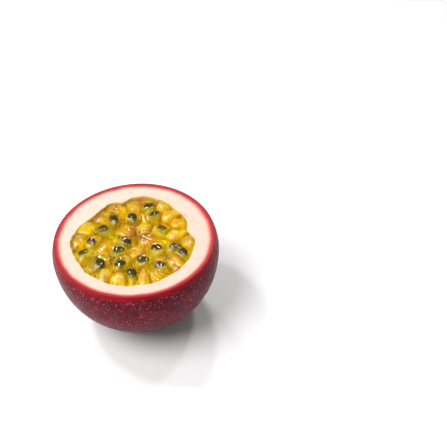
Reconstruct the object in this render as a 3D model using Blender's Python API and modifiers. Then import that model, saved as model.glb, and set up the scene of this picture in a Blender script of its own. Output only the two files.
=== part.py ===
# Half of a passion fruit, cut across and resting on its round end with the cut face up.
# Two pieces: the pith cup, a thick wall of pith under a thin skin, and the pulp, a heap of
# juice sacs that fills the cup. Metres, +Z up, origin at the middle of the flat spot it rests on.

import math

import bmesh
import bpy
import numpy as np
from mathutils import Matrix, Vector

MM = 0.001

# Fruit: an egg-shaped body of revolution, cut a little above its widest level. A depth is how
# far the egg reaches below that level, and a crown how far it would reach above it uncut.
FRUIT_RADIUS = 30.0 * MM
POLE_DEPTH = 32.2 * MM
FRUIT_CROWN = 20.5 * MM
CUT_RISE = 5.9 * MM
FOOT_RADIUS = 4.5 * MM
FOOT_LEVEL = POLE_DEPTH * math.sqrt(1.0 - (FOOT_RADIUS / FRUIT_RADIUS) ** 2)
CUT_HEIGHT = FOOT_LEVEL + CUT_RISE

# Cavity: the same kind of shape inside the pith, off centre, with lobes of pith that stand
# into it. A lobe is (middle in degrees, half width in degrees, height); a hollow is below zero.
CAVITY_RADIUS = 21.9 * MM
CAVITY_DEPTH = 25.5 * MM
CAVITY_CROWN = 31.0 * MM
CAVITY_SHIFT = 1.7 * MM
EDGE_ROUND = 0.35 * MM
BODY_WAVES = ((2, 0.0050, 0.6), (3, 0.0035, 2.1))
EDGE_WAVES = ((11, 0.006, 0.4), (17, 0.005, 1.3))
PITH_LOBES = (
    (10.0, 12.0, 2.2 * MM),
    (36.0, 15.0, 1.0 * MM),
    (82.0, 17.0, -1.6 * MM),
    (108.0, 6.0, 1.2 * MM),
    (148.0, 17.0, 1.4 * MM),
    (184.0, 15.0, -1.2 * MM),
)

# Pulp
WALL_GAP = 0.35 * MM
CORE_TOP = CUT_HEIGHT - 3.4 * MM
PULP_HEADROOM = 4.0 * MM

# Sacs with a seed, which lie where the cut face shows them: (degrees round, mm from the middle)
SEEDED_PLACES = (
    (78, 18.0), (64, 13.5), (101, 10.8), (134, 12.5), (162, 12.4), (187, 15.5),
    (204, 19.0), (231, 17.1), (232, 8.4), (208, 3.2), (254, 14.0), (271, 17.0),
    (289, 11.7), (329, 9.2), (306, 16.6), (26, 10.4), (344, 15.4), (336, 19.2),
)
# Plain sacs start on a spiral, where no seeded one is near, and settle evenly between them
SPIRAL_PLACES = 68
SPIRAL_REACH = 0.93
GOLDEN_TURN = math.pi * (3.0 - math.sqrt(5.0))
SEEDED_CLEAR = 4.3 * MM
SEEDED_GIVE = 0.3
SETTLE_ROUNDS = 25
FLOOR_STEP = 0.5 * MM
WALL_STRETCH = 0.24

# Sac sizes: the two level ones fill the sac's share of the cavity, swollen into its neighbours
SAC_SWELL = 1.09
SEEDED_HALF_DEPTH = 3.2 * MM
PLAIN_HALF_DEPTH = 2.8 * MM
SAC_DEPTH = 2.9 * MM
SAC_LIFT = 0.5 * MM
WALL_LIFT = 0.7 * MM
SAC_SPREAD = 0.09
SAC_POINT = 0.16
SAC_TILT = 0.15
SAC_SEED = 41

# Where the heap lies deeper: (x, y, half width, depth)
HEAP_DIPS = (
    (2.2 * MM, 20.5 * MM, 5.0 * MM, 1.8 * MM),
    (1.0 * MM, 3.8 * MM, 4.6 * MM, 2.2 * MM),
)

# Mesh fineness
TURN_STEPS = 60
OUTER_POINTS = 14
INNER_POINTS = 10
SAC_SIDES = 12
SAC_RINGS_AROUND = 7
MERGE_DISTANCE = 0.00005


def clear_scene():
    for thing in list(bpy.data.objects):
        bpy.data.objects.remove(thing, do_unlink=True)


def new_collection(name):
    collection = bpy.data.collections.new(name)
    bpy.context.scene.collection.children.link(collection)
    return collection


def food_material(name, colour, roughness, subsurface=0.0):
    material = bpy.data.materials.new(name)
    material.use_nodes = True
    shader = material.node_tree.nodes["Principled BSDF"]
    shader.inputs["Base Color"].default_value = (*colour, 1.0)
    shader.inputs["Roughness"].default_value = roughness
    shader.inputs["Metallic"].default_value = 0.0
    shader.inputs["Subsurface Weight"].default_value = subsurface
    return material


def waves(angle, terms):
    """Sum of cosine waves round the fruit, as a share of the radius."""
    return sum(size * np.cos(count * angle + phase) for count, size, phase in terms)


def body_share(angle):
    return 1.0 + waves(angle, BODY_WAVES)


def cavity_share(angle):
    """Radius of the cavity at an angle, as a share of CAVITY_RADIUS."""
    reach = -CAVITY_SHIFT * np.sin(angle)
    for middle, width, height in PITH_LOBES:
        away = np.angle(np.exp(1j * (angle - math.radians(middle))))
        reach = reach - height * np.exp(-((away / math.radians(width)) ** 2))
    return 1.0 + reach / CAVITY_RADIUS + waves(angle, EDGE_WAVES)


def oval_arc(radius, crown, depth, bottom_radius, count):
    """Points (r, height) down one side of an egg, from the cut to where its radius is bottom_radius."""
    first = math.asin(CUT_RISE / crown)
    last = -math.acos(bottom_radius / radius)
    return [
        (radius * math.cos(slope), FOOT_LEVEL + (crown if slope > 0.0 else depth) * math.sin(slope))
        for slope in np.linspace(first, last, count)
    ]


def turned(name, profile, share):
    """Turns a profile about the Z axis with a Screw, then scales each point's distance from the axis."""
    outline = bmesh.new()
    points = [outline.verts.new((r, 0.0, z)) for r, z in profile]
    for start, end in zip(points, points[1:]):
        outline.edges.new((start, end))
    mesh = bpy.data.meshes.new(name + "_profile")
    outline.to_mesh(mesh)
    outline.free()
    guide = bpy.data.objects.new(name + "_profile", mesh)
    bpy.context.scene.collection.objects.link(guide)
    screw = guide.modifiers.new("Turn", "SCREW")
    screw.steps = screw.render_steps = TURN_STEPS
    screw.use_merge_vertices = True
    screw.merge_threshold = MERGE_DISTANCE
    graph = bpy.context.evaluated_depsgraph_get()
    solid = bpy.data.meshes.new_from_object(guide.evaluated_get(graph))
    solid.name = name
    bpy.data.objects.remove(guide)
    bpy.data.meshes.remove(mesh)
    for vertex in solid.vertices:
        vertex.co.xy = vertex.co.xy * share(vertex)
    return bpy.data.objects.new(name, solid)


def angle_of(vertex):
    return math.atan2(vertex.co.y, vertex.co.x)


def cup_share(vertex):
    """Points of the skin follow the body and points of the wall the cavity; a surface midway parts them."""
    radius = 0.5 * (FRUIT_RADIUS + CAVITY_RADIUS)
    depth = 0.5 * (POLE_DEPTH + CAVITY_DEPTH)
    rise = min(1.0, abs(vertex.co.z - FOOT_LEVEL) / depth)
    inside = math.hypot(vertex.co.x, vertex.co.y) < radius * math.sqrt(1.0 - rise * rise)
    return float(cavity_share(angle_of(vertex)) if inside else body_share(angle_of(vertex)))


def make_pith_cup(material):
    """The cup: up the cavity wall, across the cut, down the skin to the flat spot."""
    wall = oval_arc(CAVITY_RADIUS, CAVITY_CROWN, CAVITY_DEPTH, 0.0, INNER_POINTS)
    skin = oval_arc(FRUIT_RADIUS, FRUIT_CROWN, POLE_DEPTH, FOOT_RADIUS, OUTER_POINTS)
    wall_edge = (wall[0][0] + EDGE_ROUND, CUT_HEIGHT)
    skin_edge = (skin[0][0] - EDGE_ROUND, CUT_HEIGHT)
    wall[0] = (wall[0][0], CUT_HEIGHT - EDGE_ROUND)
    skin[0] = (skin[0][0], CUT_HEIGHT - EDGE_ROUND)
    profile = [*reversed(wall), wall_edge, skin_edge, *skin, (0.0, 0.0)]
    cup = turned("pith_cup", profile, cup_share)
    cup.data.materials.append(material)
    cup.data.shade_smooth()
    cup.data.set_sharp_from_angle(angle=math.radians(35))
    return cup


def make_cavity_filler():
    """What the pulp may fill: the cavity less a small gap, with straight sides above the cut."""
    radius, depth = CAVITY_RADIUS - WALL_GAP, CAVITY_DEPTH - WALL_GAP
    arc = oval_arc(radius, CAVITY_CROWN, depth, 0.0, INNER_POINTS)
    top = CUT_HEIGHT + PULP_HEADROOM
    profile = [(0.0, top), (arc[0][0], top), *arc]
    return turned("cavity_filler", profile, lambda vertex: float(cavity_share(angle_of(vertex))))


def lay_sacs():
    """Where the juice sacs lie: places, turns, tilts and three half sizes each, seeded sacs first.

    Every point of the cavity's floor plan belongs to the nearest sac. Round by round each plain
    sac moves to the middle of what it holds, so they spread evenly; a seeded sac moves a little.
    Near the wall a step along the radius counts for less, which draws the sacs out that way.
    A sac then takes its length, width and turn from the spread of the points that it holds.
    """
    draw = np.random.default_rng(SAC_SEED)
    degrees, reach = np.array(SEEDED_PLACES).T
    angle = np.radians(degrees)
    seeded = MM * reach[:, None] * np.column_stack((np.cos(angle), np.sin(angle)))
    step = np.arange(SPIRAL_PLACES)
    angle = step * GOLDEN_TURN
    reach = SPIRAL_REACH * CAVITY_RADIUS * cavity_share(angle) * np.sqrt((step + 0.5) / SPIRAL_PLACES)
    plain = reach[:, None] * np.column_stack((np.cos(angle), np.sin(angle)))
    nearest_seeded = np.linalg.norm(plain[:, None] - seeded[None], axis=2).min(axis=1)
    places = np.concatenate((seeded, plain[nearest_seeded > SEEDED_CLEAR]))
    number = len(places)
    has_seed = np.arange(number) < len(seeded)
    line = np.arange(-FRUIT_RADIUS, FRUIT_RADIUS, FLOOR_STEP)
    floor = np.stack(np.meshgrid(line, line), axis=-1).reshape(-1, 2)
    wall = CAVITY_RADIUS * cavity_share(np.arctan2(floor[:, 1], floor[:, 0])) - WALL_GAP
    from_middle = np.hypot(floor[:, 0], floor[:, 1])
    floor, wall, from_middle = (values[from_middle < wall] for values in (floor, wall, from_middle))
    out = floor / np.maximum(from_middle, FLOOR_STEP)[:, None]
    stretch = 1.0 - WALL_STRETCH * (from_middle / wall)[:, None] ** 2
    home = places.copy()
    for _ in range(SETTLE_ROUNDS):
        step = floor[:, None] - places[None]
        along = (step * out[:, None]).sum(axis=2) * stretch
        aside = (step[:, :, 0] * out[:, None, 1] - step[:, :, 1] * out[:, None, 0]) / stretch
        owner = np.hypot(along, aside).argmin(axis=1)
        middle = np.array([floor[owner == sac].mean(axis=0) for sac in range(number)])
        places = np.where(has_seed[:, None], home + SEEDED_GIVE * (middle - home), middle)
    spread = np.array([np.cov(floor[owner == sac].T) for sac in range(number)])
    across, length = np.sqrt(np.linalg.eigvalsh(spread)).T
    turn = 0.5 * np.arctan2(2.0 * spread[:, 0, 1], spread[:, 0, 0] - spread[:, 1, 1])
    outward = np.cos(turn) * places[:, 0] + np.sin(turn) * places[:, 1]
    turn = np.where(outward < 0.0, turn + math.pi, turn)
    half_depth = np.where(has_seed, SEEDED_HALF_DEPTH, PLAIN_HALF_DEPTH)
    halves = np.column_stack((2.0 * SAC_SWELL * length, 2.0 * SAC_SWELL * across, half_depth))
    halves = halves * (1.0 + draw.uniform(-SAC_SPREAD, SAC_SPREAD, (number, 3)))
    reach = np.hypot(middle[:, 0], middle[:, 1]) / CAVITY_RADIUS
    height = CUT_HEIGHT - SAC_DEPTH + WALL_LIFT * reach**2 + draw.uniform(-SAC_LIFT, SAC_LIFT, number)
    for x, y, width, depth in HEAP_DIPS:
        away = np.hypot(places[:, 0] - x, places[:, 1] - y)
        height = height - depth * np.exp(-((away / width) ** 2))
    tilt = draw.normal(0.0, SAC_TILT, number)
    return np.column_stack((middle, height)), turn, tilt, halves


def make_sac(name, place, turn, tilt, halves):
    """One juice sac: a ball drawn out to an oval that narrows towards its outer end."""
    shape = bmesh.new()
    bmesh.ops.create_uvsphere(shape, u_segments=SAC_SIDES, v_segments=SAC_RINGS_AROUND, radius=1.0)
    bmesh.ops.rotate(shape, verts=shape.verts, cent=(0, 0, 0), matrix=Matrix.Rotation(math.pi / 2, 3, "Y"))
    for vertex in shape.verts:
        narrow = 1.0 - SAC_POINT * vertex.co.x
        vertex.co = Vector((
            vertex.co.x * halves[0],
            vertex.co.y * halves[1] * narrow,
            vertex.co.z * halves[2] * narrow,
        ))
    mesh = bpy.data.meshes.new(name)
    shape.to_mesh(mesh)
    shape.free()
    sac = bpy.data.objects.new(name, mesh)
    sac.matrix_world = (
        Matrix.Translation(place) @ Matrix.Rotation(turn, 4, "Z") @ Matrix.Rotation(tilt, 4, "Y")
    )
    return sac


def add_boolean(target, operation, other):
    """Joins a collection to the target, or keeps only what lies inside another object."""
    modifier = target.modifiers.new(operation.title(), "BOOLEAN")
    modifier.solver = "MANIFOLD"
    modifier.operation = operation
    if isinstance(other, bpy.types.Collection):
        modifier.operand_type = "COLLECTION"
        modifier.collection = other
    else:
        modifier.object = other


def keep_main_body(mesh):
    """Leaves only the largest connected surface, so sealed hollows are filled and loose scraps dropped."""
    solid = bmesh.new()
    solid.from_mesh(mesh)
    waiting = set(solid.verts)
    bodies = []
    while waiting:
        edge_of_search = [waiting.pop()]
        body = list(edge_of_search)
        while edge_of_search:
            vertex = edge_of_search.pop()
            fresh = {edge.other_vert(vertex) for edge in vertex.link_edges} & waiting
            waiting -= fresh
            edge_of_search.extend(fresh)
            body.extend(fresh)
        bodies.append(body)
    bodies.sort(key=len)
    for spare in bodies[:-1]:
        bmesh.ops.delete(solid, geom=spare, context="VERTS")
    solid.to_mesh(mesh)
    solid.free()


def make_pulp(material):
    """The heap: a plain core with the sacs that show fused on, kept inside the cavity."""
    sacs = new_collection("loose_sacs")
    places, turns, tilts, halves = lay_sacs()
    for number, place in enumerate(places):
        sac = make_sac(f"sac_{number:02d}", place, turns[number], tilts[number], halves[number])
        sacs.objects.link(sac)
    filler = make_cavity_filler()
    bpy.context.scene.collection.objects.link(filler)
    bpy.ops.mesh.primitive_cylinder_add(
        vertices=TURN_STEPS, radius=FRUIT_RADIUS, depth=CORE_TOP, location=(0, 0, CORE_TOP / 2)
    )
    core = bpy.context.active_object
    add_boolean(core, "UNION", sacs)
    add_boolean(core, "INTERSECT", filler)
    graph = bpy.context.evaluated_depsgraph_get()
    heap = bpy.data.meshes.new_from_object(core.evaluated_get(graph))
    heap.name = "pulp"
    heap.transform(core.matrix_world)
    keep_main_body(heap)
    for spare in [core, filler, *sacs.objects]:
        bpy.data.objects.remove(spare, do_unlink=True)
    bpy.data.collections.remove(sacs)
    heap.materials.clear()
    heap.materials.append(material)
    heap.shade_smooth()
    heap.set_sharp_from_angle(angle=math.radians(50))
    return bpy.data.objects.new("pulp", heap)


def build():
    clear_scene()
    fruit = new_collection("passion_fruit_half")
    pith_material = food_material("pith", (0.93, 0.84, 0.74), 0.5)
    pulp_material = food_material("pulp", (0.78, 0.48, 0.03), 0.18, 0.2)
    fruit.objects.link(make_pith_cup(pith_material))
    fruit.objects.link(make_pulp(pulp_material))


build()
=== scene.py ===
import math
import bpy
import numpy as np
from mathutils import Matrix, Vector


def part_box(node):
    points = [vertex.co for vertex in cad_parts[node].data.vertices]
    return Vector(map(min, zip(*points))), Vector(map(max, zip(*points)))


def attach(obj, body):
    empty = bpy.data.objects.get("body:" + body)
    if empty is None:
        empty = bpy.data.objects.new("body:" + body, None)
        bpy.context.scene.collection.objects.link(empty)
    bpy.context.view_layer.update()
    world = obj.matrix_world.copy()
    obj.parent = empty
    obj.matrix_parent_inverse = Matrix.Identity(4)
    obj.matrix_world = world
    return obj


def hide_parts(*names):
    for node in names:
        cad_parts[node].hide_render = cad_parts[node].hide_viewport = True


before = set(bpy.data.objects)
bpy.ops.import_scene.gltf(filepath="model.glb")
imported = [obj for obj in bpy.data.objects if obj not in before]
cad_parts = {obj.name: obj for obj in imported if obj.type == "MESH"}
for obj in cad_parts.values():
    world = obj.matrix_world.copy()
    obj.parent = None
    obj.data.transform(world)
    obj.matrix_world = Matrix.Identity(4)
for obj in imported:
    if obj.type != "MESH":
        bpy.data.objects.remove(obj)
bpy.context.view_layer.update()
mm = 0.001
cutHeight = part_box("pith_cup")[1][2]  # the level of the cut face

# The form of the fruit, the same as in the solids
form = {
    "fruitRadius": 30.0 * mm,
    "poleDepth": 32.2 * mm,
    "fruitCrown": 20.5 * mm,
    "cutRise": 5.9 * mm,  # from the widest level up to the cut
    "footRadius": 4.5 * mm,
    "cavityRadius": 21.9 * mm,
    "cavityDepth": 25.5 * mm,
    "cavityCrown": 31.0 * mm,
    "cavityShift": 1.7 * mm,
    "bodyWaves": ((2, 0.0050, 0.6), (3, 0.0035, 2.1)),  # count round, share of radius, phase
    "edgeWaves": ((11, 0.006, 0.4), (17, 0.005, 1.3)),
    # lobes of pith: middle and half width in degrees, height; a hollow is below zero
    "pithLobes": (
        (10.0, 12.0, 2.2 * mm),
        (36.0, 15.0, 1.0 * mm),
        (82.0, 17.0, -1.6 * mm),
        (108.0, 6.0, 1.2 * mm),
        (148.0, 17.0, 1.4 * mm),
        (184.0, 15.0, -1.2 * mm),
    ),
}
widestLevel = cutHeight - form["cutRise"]

# How the juice sacs lie, the same as in the solids
heap = {
    # sacs with a seed: degrees round, mm from the middle
    "seededPlaces": (
        (78, 18.0), (64, 13.5), (101, 10.8), (134, 12.5), (162, 12.4), (187, 15.5),
        (204, 19.0), (231, 17.1), (232, 8.4), (208, 3.2), (254, 14.0), (271, 17.0),
        (289, 11.7), (329, 9.2), (306, 16.6), (26, 10.4), (344, 15.4), (336, 19.2),
    ),
    "spiralPlaces": 68,
    "spiralReach": 0.93,
    "seededClear": 4.3 * mm,
    "seededGive": 0.3,
    "settleRounds": 25,
    "floorStep": 0.5 * mm,
    "wallStretch": 0.24,
    "swell": 1.09,
    "seededHalfDepth": 3.2 * mm,
    "plainHalfDepth": 2.8 * mm,
    "depth": 2.9 * mm,
    "lift": 0.5 * mm,
    "wallLift": 0.7 * mm,
    "spread": 0.09,
    "tilt": 0.15,
    "seed": 41,
    "wallGap": 0.35 * mm,
    # where the heap lies deeper: x, y, half width, depth
    "dips": (
        (2.2 * mm, 20.5 * mm, 5.0 * mm, 1.8 * mm),
        (1.0 * mm, 3.8 * mm, 4.6 * mm, 2.2 * mm),
    ),
}


# A screen colour, 0 to 255 each, as linear light
def srgb(red, green, blue):
    share = np.array([red, green, blue]) / 255.0
    linear = np.where(share <= 0.04045, share / 12.92, ((share + 0.055) / 1.055) ** 2.4)
    return (*linear.tolist(), 1.0)


# Smooth step: 0 below low, 1 above high, and 3t^2 - 2t^3 between
def ease(value, low, high):
    t = np.clip((value - low) / (high - low), 0.0, 1.0)
    return t * t * (3.0 - 2.0 * t)


# Waves round the fruit: the sum of size * cos(count * angle + phase)
def waves(angle, terms):
    return sum(size * np.cos(count * angle + phase) for count, size, phase in terms)


# Radius of the body at an angle, as a share of the fruit's: 1 plus the body's waves
def bodyShare(angle):
    return 1.0 + waves(angle, form["bodyWaves"])


# Radius of the cavity at an angle, as a share: 1, less shift * sin(angle), which moves it
# towards the viewer, less a bell curve height * exp(-(turn / width)^2) for each lobe of pith,
# both over the cavity's radius, plus the small waves along the edge
def cavityShare(angle):
    reach = -form["cavityShift"] * np.sin(angle)
    for middle, width, height in form["pithLobes"]:
        away = np.angle(np.exp(1j * (angle - math.radians(middle))))
        reach = reach - height * np.exp(-((away / math.radians(width)) ** 2))
    return 1.0 + reach / form["cavityRadius"] + waves(angle, form["edgeWaves"])


# Egg-shaped arc: radius * cos(slope) out, and crown or depth * sin(slope) up or down
def eggArc(radius, crown, depth, slope):
    rise = np.where(slope > 0.0, crown, depth) * np.sin(slope)
    return radius * np.cos(slope), widestLevel + rise


# Radius of the cavity's wall at an angle and a height: the egg's sqrt(1 - (rise / full)^2)
# there, times the cavity's radius and its share
def wallReach(angle, height):
    rise = height - widestLevel
    full = np.where(rise > 0.0, form["cavityCrown"], form["cavityDepth"])
    level = np.sqrt(np.clip(1.0 - (rise / full) ** 2, 0.0, 1.0))
    return form["cavityRadius"] * level * cavityShare(angle)


# Faces of a closed skin whose points are a first point, rings one after another and a last
# point: four-sided between the rings, three-sided at both ends
def ringFaces(rings, around):
    ring, step = np.meshgrid(np.arange(rings - 1), np.arange(around), indexing="ij")
    here = 1 + ring * around + step
    beside = 1 + ring * around + (step + 1) % around
    quads = np.stack((here, beside, beside + around, here + around), axis=-1).reshape(-1, 4)
    step = np.arange(around)
    following = (step + 1) % around
    first = np.stack((np.zeros_like(step), 1 + following, 1 + step), axis=-1)
    base = 1 + (rings - 1) * around
    last = np.stack((np.full_like(step, base + around), base + step, base + following), axis=-1)
    return quads, np.concatenate((first, last))


# A mesh object from points, four-sided faces and three-sided faces, turned right side out:
# the signed volume, a sixth of the sum of a . (b x c), is made positive
def addSurface(name, points, quads, triangles, marks=None):
    fans = np.concatenate((quads[:, [0, 1, 2]], quads[:, [0, 2, 3]], triangles))
    a, b, c = (points[fans[:, corner]] for corner in range(3))
    if np.einsum("ij,ij->i", a, np.cross(b, c)).sum() < 0.0:
        quads, triangles = quads[:, ::-1], triangles[:, ::-1]
    sides = np.concatenate((np.full(len(quads), 4), np.full(len(triangles), 3)))
    corners = np.concatenate((quads.ravel(), triangles.ravel()))
    mesh = bpy.data.meshes.new(name)
    mesh.vertices.add(len(points))
    mesh.vertices.foreach_set("co", points.astype(np.float32).ravel())
    mesh.loops.add(len(corners))
    mesh.loops.foreach_set("vertex_index", corners.astype(np.int32))
    mesh.polygons.add(len(sides))
    mesh.polygons.foreach_set("loop_start", (np.cumsum(sides) - sides).astype(np.int32))
    mesh.polygons.foreach_set("loop_total", sides.astype(np.int32))
    mesh.update(calc_edges=True)
    for label, values in (marks or {}).items():
        kind, field = ("FLOAT", "value") if values.ndim == 1 else ("FLOAT_VECTOR", "vector")
        mark = mesh.attributes.new(label, kind, "POINT")
        mark.data.foreach_set(field, values.astype(np.float32).ravel())
    mesh.shade_smooth()
    piece = bpy.data.objects.new(name, mesh)
    bpy.context.scene.collection.objects.link(piece)
    return piece


# Many closed skins of one layout in one mesh: the faces of each are shifted by its points
def repeatFaces(faces, count, pointsEach):
    shift = pointsEach * np.arange(count)
    return (faces[None] + shift[:, None, None]).reshape(-1, faces.shape[1])


# Noise on points: in each octave the mean of a few sines along random headings, and each
# octave has half the wavelength and half the size of the one before
def plainNoise(points, wavelength, seed, octaves=3, waveCount=7):
    draw = np.random.default_rng(seed)
    total = np.zeros(len(points))
    size = 1.0
    for _ in range(octaves):
        heading = draw.normal(size=(waveCount, 3))
        heading /= np.linalg.norm(heading, axis=1)[:, None]
        phase = draw.uniform(0.0, 2.0 * math.pi, waveCount)
        total += size * np.sin(2.0 * math.pi / wavelength * points @ heading.T + phase).mean(axis=1)
        wavelength, size = 0.5 * wavelength, 0.5 * size
    return total


# One shader node of a material: settings are its own properties, values go to its inputs
def addNode(tree, kind, values=None, **settings):
    node = tree.nodes.new("ShaderNode" + kind)
    for label, setting in settings.items():
        setattr(node, label, setting)
    for label, value in (values or {}).items():
        socket = node.inputs[label]
        if isinstance(value, bpy.types.NodeSocket):
            tree.links.new(value, socket)
        else:
            socket.default_value = value
    return node


def newMaterial(name):
    material = bpy.data.materials.new(name)
    material.use_nodes = True
    tree = material.node_tree
    return material, tree, tree.nodes["Principled BSDF"]


def setShader(tree, shader, values):
    for label, value in values.items():
        if isinstance(value, bpy.types.NodeSocket):
            tree.links.new(value, shader.inputs[label])
        else:
            shader.inputs[label].default_value = value


def objectPoint(tree):
    return addNode(tree, "TexCoord").outputs["Object"]


def readMark(tree, label):
    return addNode(tree, "Attribute", attribute_name=label).outputs["Fac"]


# A number worked out from one or two others
def calc(tree, operation, first, second=None, clamp=False):
    values = {0: first} if second is None else {0: first, 1: second}
    return addNode(tree, "Math", values, operation=operation, use_clamp=clamp).outputs[0]


def noiseAt(tree, point, scale, detail=2.0, roughness=0.5):
    values = {"Vector": point, "Scale": scale, "Detail": detail, "Roughness": roughness}
    return addNode(tree, "TexNoise", values).outputs["Fac"]


# A number carried from one range to another, held at its ends
def remap(tree, value, fromLow, fromHigh, toLow=0.0, toHigh=1.0, smooth=False):
    values = {0: value, 1: fromLow, 2: fromHigh, 3: toLow, 4: toHigh}
    kind = "SMOOTHSTEP" if smooth else "LINEAR"
    return addNode(tree, "MapRange", values, interpolation_type=kind).outputs[0]


# A colour band: stops are (place, screen colour)
def colourBand(tree, value, stops):
    node = addNode(tree, "ValToRGB", {"Fac": value})
    ramp = node.color_ramp
    while len(ramp.elements) < len(stops):
        ramp.elements.new(0.5)
    for element, (place, colour) in zip(ramp.elements, stops):
        element.position = place
        element.color = srgb(*colour)
    return node.outputs["Color"]


def blendColours(tree, share, first, second, kind="MIX"):
    node = addNode(tree, "Mix", data_type="RGBA", blend_type=kind, clamp_factor=True)
    for index, value in ((0, share), (6, first), (7, second)):
        if isinstance(value, bpy.types.NodeSocket):
            tree.links.new(value, node.inputs[index])
        else:
            node.inputs[index].default_value = value
    return node.outputs[2]


def addBump(tree, height, distance, strength=1.0, under=None):
    values = {"Height": height, "Distance": distance, "Strength": strength}
    if under is not None:
        values["Normal"] = under
    return addNode(tree, "Bump", values).outputs["Normal"]


# The pith cup is one closed skin that runs up the cavity's wall, across the cut face and down
# the outside. Its mark "across" is a distance in mm: below zero inwards from the outer edge of
# the cut, above zero down the outside. Its mark "wall" is 1 on the cavity's wall, and "fleck"
# is 1 in the middle of a brown fleck.
cup = {
    "around": 420,
    "wallRings": 46,
    "faceRings": 34,
    "skinRings": 110,
    "footRings": 4,
    "cornerRings": 7,
    "innerRound": 0.45 * mm,
    "outerRound": 0.35 * mm,
    "flecks": (  # degrees round, mm from the middle, size in mm
        (38, 20.2, 0.30), (35, 19.9, 0.26), (32, 20.3, 0.34), (29, 20.9, 0.28), (33, 21.1, 0.20),
    ),
    # height and length of each relief
    "faceRelief": (0.10 * mm, 9.0 * mm),
    "edgeRelief": (0.28 * mm, 2.6 * mm),
    "skinRelief": (0.10 * mm, 17.0 * mm),
    "skinDimple": (0.035 * mm, 1.5 * mm),
    "edgeReach": 2.2,  # mm from the inner edge over which it is ragged
}


# Profile of the cup at every angle, as rows of radius and of height: the wall's egg arc, a
# quarter-round inner edge, the flat cut face, a quarter-round outer edge, the skin's egg arc
# and the flat foot. A quarter round goes out by round * (1 - cos t) while it rises by
# round * sin t, and the outer one runs the same way down again.
def cupProfile(angle):
    body = bodyShare(angle)[None]
    cavity = cavityShare(angle)[None]
    inner, outer = cup["innerRound"], cup["outerRound"]
    quarter = np.linspace(0.0, 0.5 * math.pi, cup["cornerRings"])[1:-1, None]

    last = math.asin((form["cutRise"] - inner) / form["cavityCrown"])
    slope = np.linspace(-0.5 * math.pi, last, cup["wallRings"] + 1)[1:, None]
    wallOut, wallUp = eggArc(form["cavityRadius"], form["cavityCrown"], form["cavityDepth"], slope)
    wallOut, wallUp = wallOut * cavity, wallUp + 0.0 * cavity

    edgeOut = wallOut[-1:] + inner * (1.0 - np.cos(quarter))
    edgeUp = cutHeight - inner * (1.0 - np.sin(quarter)) + 0.0 * cavity

    first = math.asin((form["cutRise"] - outer) / form["fruitCrown"])
    final = -math.acos(form["footRadius"] / form["fruitRadius"])
    slope = np.linspace(first, final, cup["skinRings"])[:, None]
    skinOut, skinUp = eggArc(form["fruitRadius"], form["fruitCrown"], form["poleDepth"], slope)
    skinOut, skinUp = skinOut * body, skinUp + 0.0 * body

    rimOut = skinOut[:1] - outer * (1.0 - np.sin(quarter))
    rimUp = cutHeight - outer * (1.0 - np.cos(quarter)) + 0.0 * body

    share = np.linspace(0.0, 1.0, cup["faceRings"])[:, None]
    faceOut = wallOut[-1:] + inner + share * (skinOut[:1] - outer - wallOut[-1:] - inner)
    faceUp = cutHeight + 0.0 * faceOut

    footShare = np.linspace(1.0, 0.0, cup["footRings"] + 2)[1:-1, None]
    footOut = skinOut[-1:] * footShare
    footUp = 0.0 * footOut
    outs = (wallOut, edgeOut, faceOut, rimOut, skinOut, footOut)
    ups = (wallUp, edgeUp, faceUp, rimUp, skinUp, footUp)
    kinds = np.repeat(np.arange(len(outs)), [len(rows) for rows in outs])
    return np.concatenate(outs), np.concatenate(ups), kinds


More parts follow.
